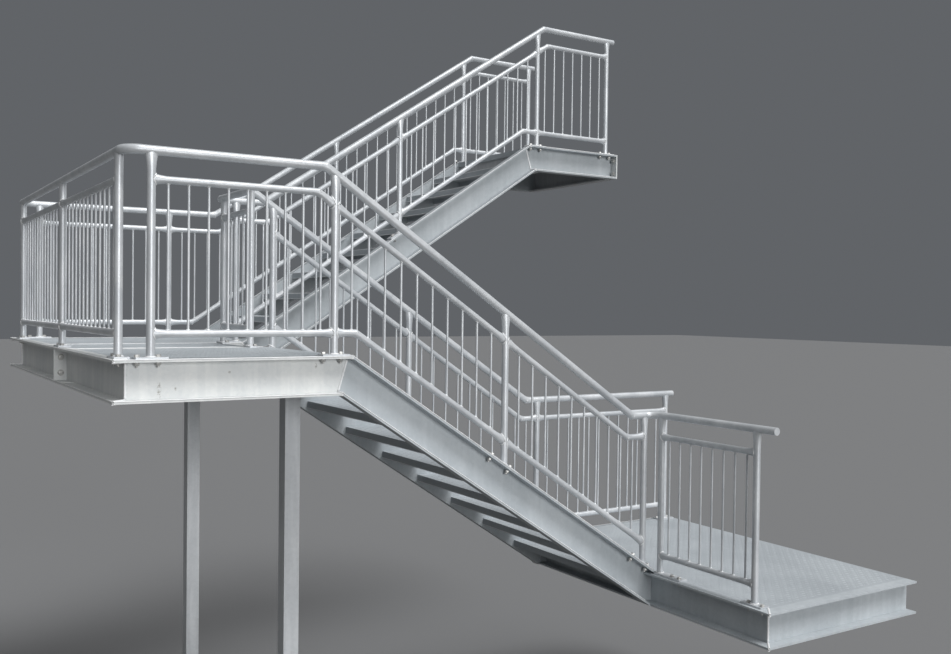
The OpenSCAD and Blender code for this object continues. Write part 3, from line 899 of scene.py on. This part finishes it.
@dataclass
class Beads:
    """Weld beads at bars, rails, post feet and knees, and pale beads on the rounded edges of the
    steel as painted highlight lines.
    """

    bar: float = 2.6
    bar_over: float = 0.8
    bar_off: float = 0.4
    rail: float = 3.4
    rail_over: float = 1.0
    rail_off: float = 0.6
    rail_high: float = 7.5
    rail_probe: float = 30.0
    rail_clear: float = 60.0
    foot: float = 4.2
    foot_over: float = 1.5
    foot_off: float = 1.0
    knee: float = 6.5
    knee_step: float = 9.0
    arris: float = 2.4
    arris_step: float = 40.0
    bury: float = 1.0

    def _at_rail(self, side: Side, u: float, line: Line, way: int) -> Vectors:
        """The line where a bar meets a rail.

        Args:
            side: The bar's side.
            u: Where the bar stands.
            line: The rail.
            way: 1 where the bar stands on the rail, -1 where it ends under it.

        Returns:
            Its points.
        """
        slope, big, r = tan(line.angle(u)), TOWER.rail_d / 2, TOWER.bar_d / 2 + self.bar_over
        pts = []
        for du, o in ((c * r, s * r) for c, s in turn(12)):
            reach = sqrt(big * big - o * o) * hypot(1, slope) + self.bar_off
            pts.append(side.at(u + du, line.height(u) + slope * du + way * reach, o))
        return pts

    def _at_post(self, side: Side, u: float, line: Line, way: int) -> Vectors:
        """The line where a rail meets a post.

        Args:
            side: The post's side.
            u: Where the post stands.
            line: The rail.
            way: 1 on the post's far face along the side, -1 on its near one.

        Returns:
            Its points.
        """
        slope, post = tan(line.angle(u + way * self.rail_probe)), TOWER.post_d / 2
        r = TOWER.rail_d / 2 + self.rail_over
        pts = []
        for c, o in ((c, s * r) for c, s in turn(20)):
            du = way * (sqrt(max(post * post - o * o, 0.0)) + self.rail_off)
            up = c * (r + self.rail_high) * hypot(1, slope)
            pts.append(side.at(u + du, line.height(u) + slope * du + up, o))
        return pts

    def _side(self, side: Side) -> None:
        """The beads of one side.

        Args:
            side: The side.
        """
        skin = Skin()
        for u in side.bars():
            for line, way in ((side.rails[1], -1), (side.rails[2], 1)):
                skin.bead(self._at_rail(side, u, line, way), self.bar, 5, True)
        for u in side.posts:
            for line, way in product(side.rails[1:], (-1, 1)):
                if side.posts[0] < u + way * self.rail_clear < side.posts[-1]:
                    skin.bead(self._at_post(side, u, line, way), self.rail, 6, True)
            slope, r = tan(side.floor.angle(u)), TOWER.post_d / 2 + self.foot_over
            foot = side.floor.height(u) + TOWER.foot_t * hypot(1, slope)
            skin.bead([side.at(u + c * r, foot + c * r * slope + self.foot_off, s * r)
                       for c, s in turn(24)], self.foot, 6, True)
        skin.piece(side.name + "_weld_beads", Finish.WELD_AND_HIGHLIGHT)

    @staticmethod
    def _fine(points: Vectors, step: float) -> Vectors:
        """Sets more points between some.

        Args:
            points: The points.
            step: About how far apart they come.

        Returns:
            The finer line.
        """
        out = [points[0]]
        for a, b in zip(points, points[1:]):
            n = max(1, round((b - a).length / step))
            out += [a.lerp(b, i / n) for i in range(1, n + 1)]
        return out

    @staticmethod
    def _section(tip: float, back: float) -> list[Pair]:
        """Outline of a channel that lies along the line.

        Args:
            tip: Where its flange tips are across the stair.
            back: Where its back is.

        Returns:
            Depth and place across of each corner, from back to tips and back.
        """
        t = TOWER
        face = back - copysign(t.web_t, back - tip)
        half = [(0.0, back), (0.0, tip), (t.flange_t, tip), (t.flange_t, face)]
        return half + [(t.channel - deep, y) for deep, y in reversed(half)]

    def knees(self) -> None:
        """The mitre welds of the bent channels and of the landings' corners."""
        t = TOWER
        welds = []
        for path, tip, back in ((t.lower_path, 0.0, t.flange_w),
                                (t.lower_path, t.inner_tip, t.inner_back),
                                (t.upper_way(), t.upper_tip, t.upper_back),
                                (t.upper_way(t.outer_on), t.width, t.far_back)):
            for i in (1, 2) if tip else (1,):
                bends = [(path.lowered(deep).points[i], y) for deep, y in self._section(tip, back)]
                welds.append([Vector((x, y, z)) for (x, z), y in bends])
        for x, y, way, z in ((0, 0, 1, 0.0), (0, t.width, -1, 0.0),
                             (t.low_tip, -t.lower_out, 1, -t.lower_drop)):
            welds.append([Vector((x + d, y + way * d, z - deep))
                          for deep, d in self._section(0.0, t.flange_w)])
        skin = Skin()
        for weld in welds:
            skin.bead(self._fine(weld, self.knee_step), self.knee)
        skin.piece("channel_weld_beads", Finish.WELD_AND_HIGHLIGHT)

    def arrises(self) -> None:
        """The rounded edges of the channels' flanges, in the pale weld finish as painted highlight
        lines.
        """
        t, depths = TOWER, (0.0, TOWER.channel - TOWER.flange_t)
        runs = ((t.lower_path.points[:3], 0.0), (t.lower_path.points, t.inner_tip),
                (t.upper_way().points, t.upper_tip), (t.upper_way(t.outer_on).points, t.width))
        edges = [[(x, tip, z) for x, z in Line(points).lowered(deep).points]
                 for points, tip in runs for deep in depths]
        edges += [[(0, 0, -deep), (0, t.width, -deep)] for deep in depths]
        skin = Skin()
        for edge in edges:
            skin.bead(self._fine([Vector(p) for p in edge], self.arris_step), self.arris)
        skin.piece("flange_edge_painted_highlights", Finish.WELD_AND_HIGHLIGHT)

    def noses(self) -> None:
        """The folds and lower edges of the treads, in the pale weld finish as painted highlight
        lines.
        """
        t = TOWER
        skin = Skin()
        lift, whole = t.tread_lift / t.slope, t.going + t.tread_lap
        treads = [(t.lower_knee + i * t.going - lift, -1, whole - lift, t.flange_w, t.inner_back,
                   t.tread_lift - i * t.riser) for i in range(1, t.lower_steps)]
        treads += [(t.upper_knee + t.outer_on + i * t.going, 1, whole, t.upper_back, t.far_back,
                    i * t.riser) for i in range(1, t.upper_steps)]
        for front, way, deep, y0, y1, z in treads:
            for on, down in ((self.bury, self.bury), (self.bury, t.lip_h),
                             (deep - self.bury, t.lip_h)):
                skin.bead([Vector((front + way * on, y, z - down)) for y in (y0, y1)], self.arris)
        skin.piece("tread_edge_painted_highlights", Finish.WELD_AND_HIGHLIGHT)

    def build(self, sides: list[Side]) -> None:
        """One piece of beads for each side and three for the frame.

        Args:
            sides: The sides.
        """
        for side in sides:
            self._side(side)
        self.knees()
        self.arrises()
        self.noses()


@dataclass
class PlateLugs:
    """The raised lozenges of the checker plate on floors and treads."""

    pitch: float = 32.0
    length: float = 25.0
    wide: float = 7.0
    high: float = 1.2
    sunk: float = 0.2
    shrink: float = 0.62
    edge: float = 8.0
    lap: float = 4.0
    last_cut: float = 66.0
    angle: float = 20.0

    def _fill(self, skin: Skin, x: Pair, y: Pair, z: float) -> None:
        """Covers a rectangle with lugs, every other one turned the other way.

        Args:
            skin: Where they go.
            x: Both ends of the lugs' field.
            y: Both edges of the plate, along which a strip stays free.
            z: Its top.
        """
        (x0, x1), (y0, y1) = x, (y[0] + self.edge, y[1] - self.edge)
        nx, ny = int((x1 - x0) / self.pitch), int((y1 - y0) / self.pitch)
        sx, sy = (x0 + x1 - nx * self.pitch) / 2, (y0 + y1 - ny * self.pitch) / 2
        half, quarter, w = self.length / 2, self.length / 4, self.wide / 2
        base = ((half, 0.0), (quarter, w), (-quarter, w),
                (-half, 0.0), (-quarter, -w), (quarter, -w))
        c = sqrt(0.5)
        for i, j in product(range(nx), range(ny)):
            cx, cy = sx + (i + 0.5) * self.pitch, sy + (j + 0.5) * self.pitch
            s, start = c if (i + j) % 2 else -c, len(skin.points)
            skin.points += [
                Vector((cx + (px * c - py * s) * grow, cy + (px * s + py * c) * grow, z + up))
                for grow, up in ((1.0, -self.sunk), (self.shrink, self.high)) for px, py in base]
            for k in range(6):
                m = (k + 1) % 6
                skin.faces.append((start + k, start + m, start + 6 + m, start + 6 + k))
            skin.faces.append(tuple(start + 6 + k for k in range(6)))

    def build(self) -> None:
        """One piece of lugs for each floor and flight."""
        t, e, lap = TOWER, self.edge, self.lap
        lower, upper = (t.flange_w, t.inner_back), (t.upper_back, t.far_back)
        up_x, in_x = t.upper_knee + t.outer_on, t.flange_w + e
        pieces: dict[str, list[tuple[Pair, Pair, float]]] = {
            "half_landing_lugs": [
                ((in_x, t.lower_knee - lap), lower, 0.0),
                ((in_x, t.beam_back - t.flange_w - e), (t.inner_tip, t.upper_tip), 0.0),
                ((in_x, up_x + t.going - lap), upper, 0.0)],
            "upper_landing_lugs": [
                ((t.top_x + t.outer_on + lap, t.wall_x - e), upper, t.upper_rise)],
            "lower_landing_lugs": [
                ((t.low_tip + t.flange_w + e, t.low_wall_x - e),
                 (t.flange_w - t.lower_out, t.inner_back), -t.lower_drop)],
            "lower_tread_lugs": [
                ((t.lower_knee + (i - 1) * t.going + lap,
                  t.lower_knee + i * t.going - t.tread_lift / t.slope - lap), lower,
                 t.tread_lift - i * t.riser) for i in range(1, t.lower_steps)]
                + [((t.foot_x - t.going + lap, t.foot_x - self.last_cut - lap), lower,
                    -t.lower_drop)],
            "upper_tread_lugs": [
                ((up_x + i * t.going + lap, up_x + (i + 1) * t.going - lap), upper, i * t.riser)
                for i in range(1, t.upper_steps)],
        }
        for name, plates in pieces.items():
            skin = Skin()
            for x, y, z in plates:
                self._fill(skin, x, y, z)
            skin.piece(name, Finish.FLOOR, self.angle)


@dataclass
class Bolts:
    """Hexagon bolts through the plates, with their washers and the nuts behind."""

    across: float = 22.0
    head_h: float = 10.0
    washer_r: float = 14.0
    washer_t: float = 2.2
    nut_h: float = 14.0
    tail: float = 9.0
    tail_r: float = 5.9
    tip_r: float = 4.9
    dome: tuple[Pair, ...] = ((1.0, 0.0), (1.0, 0.8), (0.86, 1.0), (0.25, 1.06))
    angle: float = 35.0
    foot_out: float = 10.0
    # The bolts of the frame's plates
    frame_grow: float = 1.3
    wall_grow: float = 1.25
    joint_y: float = 1480.0
    joint_up: float = 45.0
    joint_grip: float = 20.0
    wall_up: float = 55.0
    wall_plate: float = 10.0
    base_step: float = 75.0
    base_plate: float = 16.0

    def _hexagon(self, skin: Skin, at: Vector, up: Vector, height: float, grow: float) -> None:
        """A hexagon with a domed, chamfered end."""
        r = self.across / sqrt(3) * grow
        skin.turned(at, up, [(r * wide, height * high) for wide, high in self.dome], 6)

    def _add(self, skin: Skin, at: Vector, up: Vector, grip: float, grow: float = 1.0) -> None:
        """One bolt.

        Args:
            skin: Where it goes.
            at: Where its washer lies.
            up: The way its head points.
            grip: Thickness of the plates under it, or 0 where it has no nut.
            grow: Its size against the smallest one's.
        """
        washer = [(self.washer_r * grow, 0.0), (self.washer_r * grow, self.washer_t)]
        skin.turned(at, up, washer, 20)
        self._hexagon(skin, at + up * self.washer_t, up, self.head_h * grow, grow)
        if not grip:
            return
        under = at - up * grip
        skin.turned(under, -up, washer, 20)
        self._hexagon(skin, under - up * self.washer_t, -up, self.nut_h * grow, grow)
        skin.turned(under - up * (self.washer_t + self.nut_h * 0.9 * grow), -up,
                    [(self.tail_r * grow, 0.0), (self.tail_r * grow, self.tail),
                     (self.tip_r * grow, self.tail + 1.2)], 12)

    def _feet(self, side: Side) -> None:
        """The bolts of one side's foot plates.

        Args:
            side: The side.
        """
        t = TOWER
        skin = Skin()
        for u, spots in zip(side.posts, side.bolts):
            angle, out = side.floor.angle(u), side.out * side.face
            along = Vector(side.way) * cos(angle) + UP * sin(angle)
            up = along.cross(out)
            if up.z < 0:
                up = -up
            for k in spots:
                top = side.at(u, side.floor.height(u)) + along * k + out * self.foot_out
                self._add(skin, top + up * t.foot_t, up, t.foot_t + t.flange_t)
        skin.piece(side.name + "_foot_bolts", Finish.BOLT, self.angle)

    def _plates(self) -> None:
        """The bolts where the end channels meet, at the wall and at the columns' feet."""
        t = TOWER
        skin = Skin()
        for k in (-1, 1):
            self._add(skin, Vector((t.flange_w / 2, self.joint_y,
                                    k * self.joint_up - t.channel / 2)),
                      Vector((0, -1, 0)), self.joint_grip, self.frame_grow)
            for y in (t.upper_tip, t.far_back):
                self._add(skin, Vector((t.wall_x - self.wall_plate, y + t.flange_w / 2,
                                        t.upper_rise - t.channel / 2 + k * self.wall_up)),
                          Vector((-1, 0, 0)), 0, self.wall_grow)
        step = (-self.base_step, self.base_step)
        for y, i, k in product((t.column_in, t.width - t.column_in), step, step):
            self._add(skin, Vector((t.column_x + i, y + k, self.base_plate - t.ground)),
                      UP, 0, self.frame_grow)
        skin.piece("frame_bolts", Finish.BOLT, self.angle)

    def build(self, sides: list[Side]) -> None:
        """One piece of bolts for each side, and one for the plates of the frame."""
        for side in sides:
            self._feet(side)
        self._plates()


@dataclass
class FrameDress:
    """Gives each node of the frame its finish."""

    def finish_of(self, name: str) -> Finish:
        """The finish of a node.

        Args:
            name: The node's name.

        Returns:
            Its finish.
        """
        if "balustrade" in name or name in ("well_guard", "corner_rails"):
            return Finish.TUBE
        if name.endswith("_floor") or name.endswith("_treads"):
            return Finish.FLOOR
        # Columns take a darker zinc as painted shade.
        if name.endswith("column"):
            return Finish.SHADED_COLUMN
        if "joist" in name or "beam" in name or name == "lower_landing_wall_channel":
            return Finish.BEAM
        # Stringers and the lower landing take darker zinc as painted shade, the upper stringers
        # darkest.
        if name.endswith("stringer") and name.startswith("upper"):
            return Finish.SHADED_UPPER
        if name.endswith("stringer") or name.startswith("lower_landing"):
            return Finish.SHADED_FLIGHT
        return Finish.CHANNEL

    def build(self) -> None:
        """Dresses every node."""
        for name, node in sorted(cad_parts.items()):
            node.data.materials.clear()
            node.data.materials.append(self.finish_of(name).material())
            log.info("%s dressed as %s", name, self.finish_of(name).name)


# ---- studio

@dataclass
class Studio:
    """The plain floor, the lights and the camera at the photograph's viewing angle."""

    focal_px: float = 995.99
    image_w: float = 951
    eye: Point = (-1025.8, -4644.0, 254.5)
    yaw: float = 32.454
    pitch: float = -1.087
    roll: float = 0.678
    sensor: float = 36.0
    floor_side: float = 160.0
    floor_tone: Colour = (0.16, 0.163, 0.167)
    floor_bounce: Colour = (0.12, 0.12, 0.118)
    backdrop: Colour = (0.120, 0.127, 0.137)
    sky_from: Pair = (0.1, 0.9)
    sky: Pair = (0.06, 0.60)
    suns: tuple[tuple[str, float, float, Point], ...] = (
        ("sun", 2.6, 30.0, (-0.28, 0.52, -1.0)), ("yard", 1.95, 28.0, (0.0, 1.0, -0.08)))

    def camera(self) -> None:
        """Makes the camera."""
        data = bpy.data.cameras.new("camera")
        data.sensor_width = self.sensor
        data.lens = self.focal_px / self.image_w * self.sensor
        data.clip_end = 200.0
        yaw, pitch, roll = (radians(a) for a in (self.yaw, self.pitch, self.roll))
        ahead = Vector((sin(yaw) * cos(pitch), cos(yaw) * cos(pitch),
                        sin(pitch)))
        right = Vector((cos(yaw), -sin(yaw), 0.0))
        up = right.cross(ahead)
        right, up = (right * cos(roll) + up * sin(roll),
                     up * cos(roll) - right * sin(roll))
        made = put("camera", data)
        made.matrix_world = (Matrix.Translation(row(self.eye))
                             @ Matrix((right, up, -ahead)).transposed().to_4x4())
        bpy.context.scene.camera = made

    def floor(self) -> None:
        """A plain grey floor that keeps the object's shadow."""
        half = self.floor_side / 2
        mesh = bpy.data.meshes.new("floor")
        mesh.from_pydata([(-half, -half, 0), (half, -half, 0), (half, half, 0), (-half, half, 0)],
                         [], [(0, 1, 2, 3)])
        made = put("floor", mesh)
        g = Graph(bpy.data.materials.new("floor"))
        tone = g.mix(self.floor_bounce, self.floor_tone, g.seen_by("Camera", "Glossy"))
        mesh.materials.append(g.finish(Base_Color=tone, Roughness=0.9))

    def world(self) -> None:
        """A sky that brightens overhead, and the backdrop that is seen in its place."""
        made = bpy.data.worlds.new("studio")
        bpy.context.scene.world = made
        g = Graph(made)
        height = g.node("ShaderNodeSeparateXYZ", None,
                        {0: g.node("ShaderNodeTexCoord", output="Generated")}, "Z")
        light = g.node("ShaderNodeBackground", None, {
            "Color": (1.0, 1.0, 1.0), "Strength": height.ease(*self.sky_from, *self.sky)})
        back = g.node("ShaderNodeBackground", None, {"Color": self.backdrop, "Strength": 1.0})
        seen = g.seen_by("Camera", "Glossy", "Transmission")
        both = g.node("ShaderNodeMixShader", None, {0: seen, 1: light, 2: back})
        g.node("ShaderNodeOutputWorld", None, {"Surface": both})

    def lamps(self) -> None:
        """The sun, and a broad, low light from the open yard on the near side."""
        for name, strength, spread, aim in self.suns:
            lamp = bpy.data.lights.new(name, "SUN")
            lamp.energy = strength
            lamp.angle = radians(spread)
            made = put(name, lamp)
            made.rotation_mode = "QUATERNION"
            made.rotation_quaternion = Vector(aim).to_track_quat("-Z", "Y")

    def build(self) -> None:
        """Sets the whole studio."""
        self.camera()
        self.floor()
        self.world()
        self.lamps()
        bpy.context.scene.view_settings.view_transform = "Standard"


def main() -> None:
    """Builds the looks in order."""
    logging.basicConfig(level=logging.INFO, format="%(name)s: %(message)s")
    Studio().build()
    FrameDress().build()
    sides = balustrades(TOWER)
    TubeEnds().build(sides)
    Mitres().build(sides)
    Beads().build(sides)
    PlateLugs().build()
    Bolts().build(sides)


if __name__ == "__main__":
    main()
